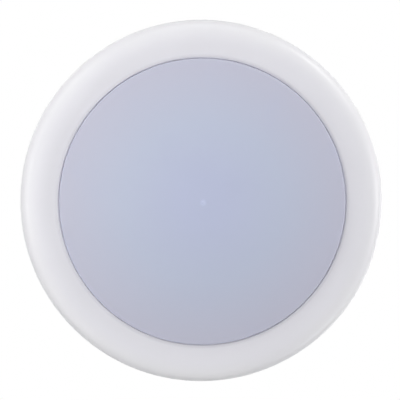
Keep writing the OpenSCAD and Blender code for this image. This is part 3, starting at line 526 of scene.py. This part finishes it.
def rib(turn):  # a radial plate whose foot follows the wall
    steps, overlap = trim["ribSteps"], trim["overlap"]
    first, last = collarOut - overlap, wallR + overlap / 2
    radii = [first + (last - first) * i / steps for i in range(steps + 1)]
    points, faces = [], []
    for side in (-1, 1):
        dx, dy = place(side * trim["rib"] / 2, turn + 90)
        for r in radii:
            x, y = place(r, turn)
            foot = wallInside(r)
            top = max(-trim["panRim"], foot - overlap / 2)
            points += [(x + dx, y + dy, foot - overlap), (x + dx, y + dy, top)]
    count = 2 * len(radii)
    for k in range(0, count - 2, 2):
        faces += [(k, k + 1, k + 3, k + 2), (count + k, count + k + 2, count + k + 3, count + k + 1)]
        faces += [(k + 1, count + k + 1, count + k + 3, k + 3), (k, k + 2, count + k + 2, count + k)]
    faces += [(0, count, count + 1, 1), (count - 2, count - 1, 2 * count - 1, 2 * count - 2)]
    return points, faces


def collarPiece(first, last):  # the lens's centring wall between two key gaps
    steps = trim["collarSteps"]
    low, high = bandBack - trim["overlap"], bandBack + trim["collar"]
    outline = [(collarIn, low), (collarOut, low), (collarOut, high), (collarIn, high)]
    points, faces = [], []
    for i in range(steps + 1):
        points += [(*place(r, first + (last - first) * i / steps), z) for r, z in outline]
    for i in range(steps):
        a, b = 4 * i, 4 * i + 4
        faces += [(a + k, b + k, b + (k + 1) % 4, a + (k + 1) % 4) for k in range(4)]
    faces += [(3, 2, 1, 0), (4 * steps, 4 * steps + 1, 4 * steps + 2, 4 * steps + 3)]
    return points, faces


def makeTrim():
    front = shoulder(bandR, trimR, trimFront, -trim["rimGap"], trim["shoulderSteps"])
    back = shoulder(collarOut, wallR, bandBack, -trim["rimGap"], trim["insideSteps"])
    lip = arc((bandR, trimFront + trim["lip"]), trim["lip"], 180, 270, trim["lipSteps"])
    parts = [lathe([(apertureR, bandBack)] + lip[:-1] + front + back[::-1], trim["segments"])]
    parts += [rib(360 * i / trim["ribs"]) for i in range(trim["ribs"])]
    keyHalf = degrees((keys["width"] / 2 + trim["keyGap"]) / collarIn)
    between = 360 / len(keys["turns"])
    parts += [collarPiece(turn + keyHalf, turn + between - keyHalf) for turn in keys["turns"]]
    bossR = collarOut + trim["boss"] + trim["bossGap"]
    boss = (trim["bore"], trim["boss"], bandBack - trim["overlap"], -trim["panRim"], trim["bossSegments"])
    parts += [tube(*place(bossR, turn), *boss) for turn in trim["bossTurns"]]
    return piece("trimRing", joined(*parts), "light", "white_trim")


trimPiece = makeTrim()
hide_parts("trim_ring")
print("trim ring made:", len(trimPiece.data.polygons), "faces")

# lens: a shallow dome with a rounded edge, a side wall, a flange on the seal and the mark of the mould's
# gate; outline gives the mark's shape in shares of its radius and height, pinhole stays open on the axis
lens = {
    "wall": 2 * mm, "proud": 2 * mm, "rise": 9 * mm, "edge": 0.8 * mm, "leastEdge": 0.2 * mm, "seal": 1 * mm,
    "keyFoot": 1 * mm, "pinhole": 0.02 * mm, "segments": 288, "edgeSteps": 14, "outsideSteps": 48,
    "insideSteps": 24, "sharp": 40,
}
gate = {
    "radius": 0.9 * mm, "height": 0.2 * mm, "foot": 0.3 * mm, "segments": 32,
    "outline": ((0.0, 0.85), (0.4, 1.0), (0.8, 0.8), (1.0, 0.0)),
}
sealTop = bandBack + lens["seal"]
flangeTop = sealTop + lens["wall"]
domeR = (lensR ** 2 + lens["rise"] ** 2) / (2 * lens["rise"])
domeZ = trimFront - lens["proud"] - lens["rise"] + domeR


def domePath(inset, steps):  # from the side wall round the edge to the crown
    side, ball = lensR - inset, domeR - inset
    edge = max(lens["edge"] - inset, lens["leastEdge"])
    drop = sqrt((ball - edge) ** 2 - (side - edge) ** 2)
    lean = degrees(atan((side - edge) / drop))
    path = arc((side - edge, domeZ - drop), edge, 0, lean - 90, lens["edgeSteps"])
    path += arc((0, domeZ), ball, lean - 90, -90, steps)[1:]
    path[-1] = (lens["pinhole"], path[-1][1])
    return path


def lensKey(turn):  # one locating key on the flange
    points = []
    foot = flangeR - lens["keyFoot"]
    for z in (sealTop, flangeTop):
        for r, side in ((foot, -1), (collarOut, -1), (collarOut, 1), (foot, 1)):
            x, y = place(r, turn)
            dx, dy = place(side * keys["width"] / 2, turn + 90)
            points.append((x + dx, y + dy, z))
    faces = [(3, 2, 1, 0), (4, 5, 6, 7), (0, 1, 5, 4), (1, 2, 6, 5), (2, 3, 7, 6), (3, 0, 4, 7)]
    return points, faces


def gateProfile(crown):  # from the foot inside the dome to the middle of the mark
    mark = [(max(share * gate["radius"], lens["pinhole"]), crown - height * gate["height"])
            for share, height in gate["outline"]]
    mark += [(gate["radius"], crown + gate["foot"]), (lens["pinhole"], crown + gate["foot"])]
    return mark[::-1]


def makeLens():
    outside = domePath(0, lens["outsideSteps"])
    inside = domePath(lens["wall"], lens["insideSteps"])
    flange = [(lensR - lens["wall"], flangeTop), (flangeR, flangeTop), (flangeR, sealTop), (lensR, sealTop)]
    parts = [lathe(flange + outside + inside[::-1], lens["segments"])]
    parts += [lathe(gateProfile(outside[-1][1]), gate["segments"])]
    parts += [lensKey(turn) for turn in keys["turns"]]
    return piece("diffuserLens", joined(*parts), "light", "opal_lens", lens["sharp"])


lensPiece = makeLens()
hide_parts("diffuser_lens")
print("lens made:", len(lensPiece.data.polygons), "faces")

# earth screw's thread: a sleeve round its shank that starts by under above the ceiling's plane and ends by
# under below the tip; inside is its bore as a share of the core
thread = {
    "core": 2.36 * mm, "crest": 2.52 * mm, "pitch": 0.8 * mm, "steps": 6, "under": 0.3 * mm, "inside": 0.9,
    "segments": 36, "sharp": 20,
}
screwLow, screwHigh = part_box("earth_screw")


def threadOutline(turn):  # one side of the sleeve, its ridges shifted along the helix
    low, high = thread["under"], screwHigh.z - thread["under"]
    count = round((high - low) / thread["pitch"] * thread["steps"])
    outline = [(thread["core"] * thread["inside"], high), (thread["core"] * thread["inside"], low)]
    for k in range(count + 1):
        z = low + (high - low) * k / count
        share = (z / thread["pitch"] - turn / 360) % 1
        ridge = abs(2 * share - 1) if 0 < k < count else 0
        outline.append((thread["core"] + (thread["crest"] - thread["core"]) * ridge, z))
    return outline


def makeThread():
    points, faces = lathe(threadOutline, thread["segments"])
    middleX, middleY = (screwLow.x + screwHigh.x) / 2, (screwLow.y + screwHigh.y) / 2
    points = [(x + middleX, y + middleY, z) for x, y, z in points]
    return piece("earthThread", (points, faces), "bracket", "green_screw", thread["sharp"])


makeThread()
print("earth screw's thread made")


# soft pieces: each starts as a copy of its solid, which gets rounded edges or an uneven skin
def settled(thing):  # the mesh with its modifiers applied
    bpy.context.view_layer.update()
    seen = thing.evaluated_get(bpy.context.evaluated_depsgraph_get())
    thing.data = bpy.data.meshes.new_from_object(seen)
    thing.modifiers.clear()


def softPiece(name, nodeName, slotName):  # a copy of a node's solid, to be shaped further
    node = frame["nodes"][nodeName]
    made = bpy.data.objects.new(name, node.data.copy())
    made.matrix_world = node.matrix_world.copy()
    bpy.context.collection.objects.link(made)
    made.data.materials.clear()
    made.data.materials.append(paints[slotName])
    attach(made, "light")
    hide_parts(nodeName)
    return made


gasket = {
    "voxel": 0.6 * mm, "rounds": 8, "wave": 0.2 * mm, "waveSize": 9 * mm, "pit": 0.14 * mm,
    "pitSize": 1.6 * mm, "fill": 0.9,
}


def foamGasket():  # cut cells pit its skin and the squeeze against the ceiling makes it wavy
    made = softPiece("foamGasket", "ceiling_gasket", "black_foam")
    remesh = made.modifiers.new("cells", "REMESH")
    remesh.mode = "VOXEL"
    remesh.voxel_size = gasket["voxel"]
    soften = made.modifiers.new("soften", "SMOOTH")
    soften.iterations = gasket["rounds"]
    settled(made)
    low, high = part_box("ceiling_gasket")
    was = [(point.co.copy(), point.normal.copy()) for point in made.data.vertices]  # normals before any move
    for point, (at, normal) in zip(made.data.vertices, was):
        slow = noise.noise(at / gasket["waveSize"]) - 0.5
        pit = abs(noise.noise(at / gasket["pitSize"]))
        at += normal * (slow * gasket["wave"] - pit * gasket["pit"])
        at.z = min(max(at.z, low.z), high.z)
        point.co = at
    made.data.shade_smooth()
    return made


# widths of the rounded edges; edges over least degrees are rounded, and over sharp degrees stay sharp
rounding = {"lensSeal": 0.3 * mm, "thermalPad": 0.12 * mm, "steps": 3, "least": 40, "sharp": 50}


def roundedCopy(name, nodeName, slotName):  # a soft moulding with its edges rounded
    made = softPiece(name, nodeName, slotName)
    bevel = made.modifiers.new("rounding", "BEVEL")
    bevel.width = rounding[name]
    bevel.segments = rounding["steps"]
    bevel.limit_method = "ANGLE"
    bevel.angle_limit = radians(rounding["least"])
    settled(made)
    made.data.shade_smooth()
    made.data.set_sharp_from_angle(angle=radians(rounding["sharp"]))
    return made


gasketPiece = foamGasket()
roundedCopy("lensSeal", "lens_seal", "silicone")
padPiece = roundedCopy("thermalPad", "thermal_pad", "thermal_pad")
print("soft pieces made:", len(gasketPiece.data.polygons), "faces in the gasket")

# camera: it looks straight up at the light, tilted a little; aim, in the plane at planeZ, is the picture's
# middle
shot = {
    "lens": 175, "sensor": 36.0, "frameWidth": 212.05 * mm, "tiltX": 2.15, "tiltY": 2.1,
    "aim": (0.49 * mm, 0.11 * mm), "planeZ": -0.6 * mm, "near": 0.05, "far": 60,
}


def makeCamera():
    data = bpy.data.cameras.new("camera")
    data.lens = shot["lens"]
    data.sensor_width = shot["sensor"]
    data.clip_start = shot["near"]
    data.clip_end = shot["far"]
    camera = bpy.data.objects.new("camera", data)
    bpy.context.collection.objects.link(camera)
    away = Vector((tan(radians(shot["tiltX"])), tan(radians(shot["tiltY"])), -1)).normalized()
    distance = shot["frameWidth"] * shot["lens"] / shot["sensor"]
    camera.location = Vector((*shot["aim"], shot["planeZ"])) + away * distance
    camera.rotation_mode = "QUATERNION"
    halfTurn = Quaternion((0, 1, 0), pi)  # puts +Y at the top of the picture
    camera.rotation_quaternion = Vector((0, 0, 1)).rotation_difference(-away) @ halfTurn
    bpy.context.scene.camera = camera


makeCamera()

stage = {
    "ambient": 0.05, "ambientColour": (0.97, 0.98, 1.0), "floorZ": -2.4, "floorSize": 60.0,
    "floorColour": (0.8, 0.8, 0.81), "floorLighter": 1.04, "floorCloud": 0.4, "floorRough": 0.9,
    "floorGloss": 0.2,
}
whiteRays = ("Is Camera Ray", "Is Glossy Ray", "Is Transmission Ray")


def whitened(tree, plain, white, end):  # ends a tree in its plain shader, but white for whiteRays
    path = tree.nodes.new("ShaderNodeLightPath")
    total = path.outputs[whiteRays[0]]
    for name in whiteRays[1:]:
        plus = tree.nodes.new("ShaderNodeMath")
        plus.operation = "MAXIMUM"
        tree.links.new(total, plus.inputs[0])
        tree.links.new(path.outputs[name], plus.inputs[1])
        total = plus.outputs[0]
    mixed = tree.nodes.new("ShaderNodeMixShader")
    tree.links.new(total, mixed.inputs[0])
    tree.links.new(plain.outputs[0], mixed.inputs[1])
    tree.links.new(white.outputs[0], mixed.inputs[2])
    tree.links.new(mixed.outputs[0], end.inputs["Surface"])


def makeWorld():
    world = bpy.data.worlds.new("studio")
    bpy.context.scene.world = world
    world.use_nodes = True
    tree = world.node_tree
    tree.nodes.clear()
    soft = tree.nodes.new("ShaderNodeBackground")
    soft.inputs["Color"].default_value = rgba(stage["ambientColour"])
    soft.inputs["Strength"].default_value = stage["ambient"]
    white = tree.nodes.new("ShaderNodeBackground")
    white.inputs["Color"].default_value = (1, 1, 1, 1)
    white.inputs["Strength"].default_value = 1.0
    whitened(tree, soft, white, tree.nodes.new("ShaderNodeOutputWorld"))


def makeFloor():  # pale paper far below the light, as white as the world to the camera
    half, z = stage["floorSize"] / 2, stage["floorZ"]
    corners = [(-half, -half, z), (half, -half, z), (half, half, z), (-half, half, z)]
    mesh = bpy.data.meshes.new("floor")
    mesh.from_pydata(corners, [], [(0, 1, 2, 3)])
    floor = bpy.data.objects.new("floor", mesh)
    bpy.context.collection.objects.link(floor)
    p = Paint("floorPaper")
    lighter = shade(stage["floorColour"], stage["floorLighter"])
    tint = p.mix(stage["floorColour"], lighter, p.cloud(stage["floorCloud"], detail=3))
    matt = {"Roughness": stage["floorRough"], "Specular IOR Level": stage["floorGloss"]}
    p.surface(matt, {"Base Color": tint})
    nodes = p.tree.nodes
    whitened(p.tree, nodes["Principled BSDF"], nodes.new("ShaderNodeEmission"), nodes["Material Output"])
    mesh.materials.append(p.material)


makeWorld()
makeFloor()
bpy.context.scene.view_settings.view_transform = "Standard"

# each lamp stands at a turn round the light as the photograph shows it (0 right, 90 down) and at a rise, its
# angle below the ceiling's plane; the two behind the light stand above that plane and don't show in gloss
lamps = {
    "right": {"turn": 0, "rise": 8, "power": 5.00},
    "lowerRight": {"turn": 45, "rise": 8, "power": 2.52},
    "bottomLow": {"turn": 90, "rise": 8, "power": 1.00},
    "bottom": {"turn": 90, "rise": 40, "power": 0.95},
    "lowerLeft": {"turn": 135, "rise": 40, "power": 1.60},
    "left": {"turn": 180, "rise": 24, "power": 2.92},
    "leftFront": {"turn": 180, "rise": 60, "power": 2.60},
    "upperLeft": {"turn": 225, "rise": 24, "power": 2.66},
    "upperFront": {"turn": 225, "rise": 60, "power": 1.50},
    "topLow": {"turn": 270, "rise": 8, "power": 2.14},
    "topFront": {"turn": 270, "rise": 60, "power": 0.88},
    "upperRight": {"turn": 315, "rise": 8, "power": 4.46},
    "backKey": {"turn": 225, "rise": -62, "power": 6.0, "glossy": False},
    "backFill": {"turn": 20, "rise": -52, "power": 4.0, "glossy": False},
}
lampStand = {"distance": 1.1, "size": 0.5}


def makeLamp(name, look):
    data = bpy.data.lights.new(name, "AREA")
    data.shape = "DISK"
    data.size = lampStand["size"]
    data.energy = look["power"]
    lamp = bpy.data.objects.new(name, data)
    bpy.context.collection.objects.link(lamp)
    turn, rise = radians(look["turn"]), radians(look["rise"])
    toward = Vector((-cos(turn) * cos(rise), -sin(turn) * cos(rise), -sin(rise)))
    lamp.location = toward * lampStand["distance"]
    lamp.rotation_mode = "QUATERNION"
    lamp.rotation_quaternion = toward.to_track_quat("Z", "Y")
    lamp.visible_camera = False
    lamp.visible_glossy = look.get("glossy", True)


for lampName, lampLook in lamps.items():
    makeLamp(lampName, lampLook)
print("camera, stage and", len(lamps), "lamps set")
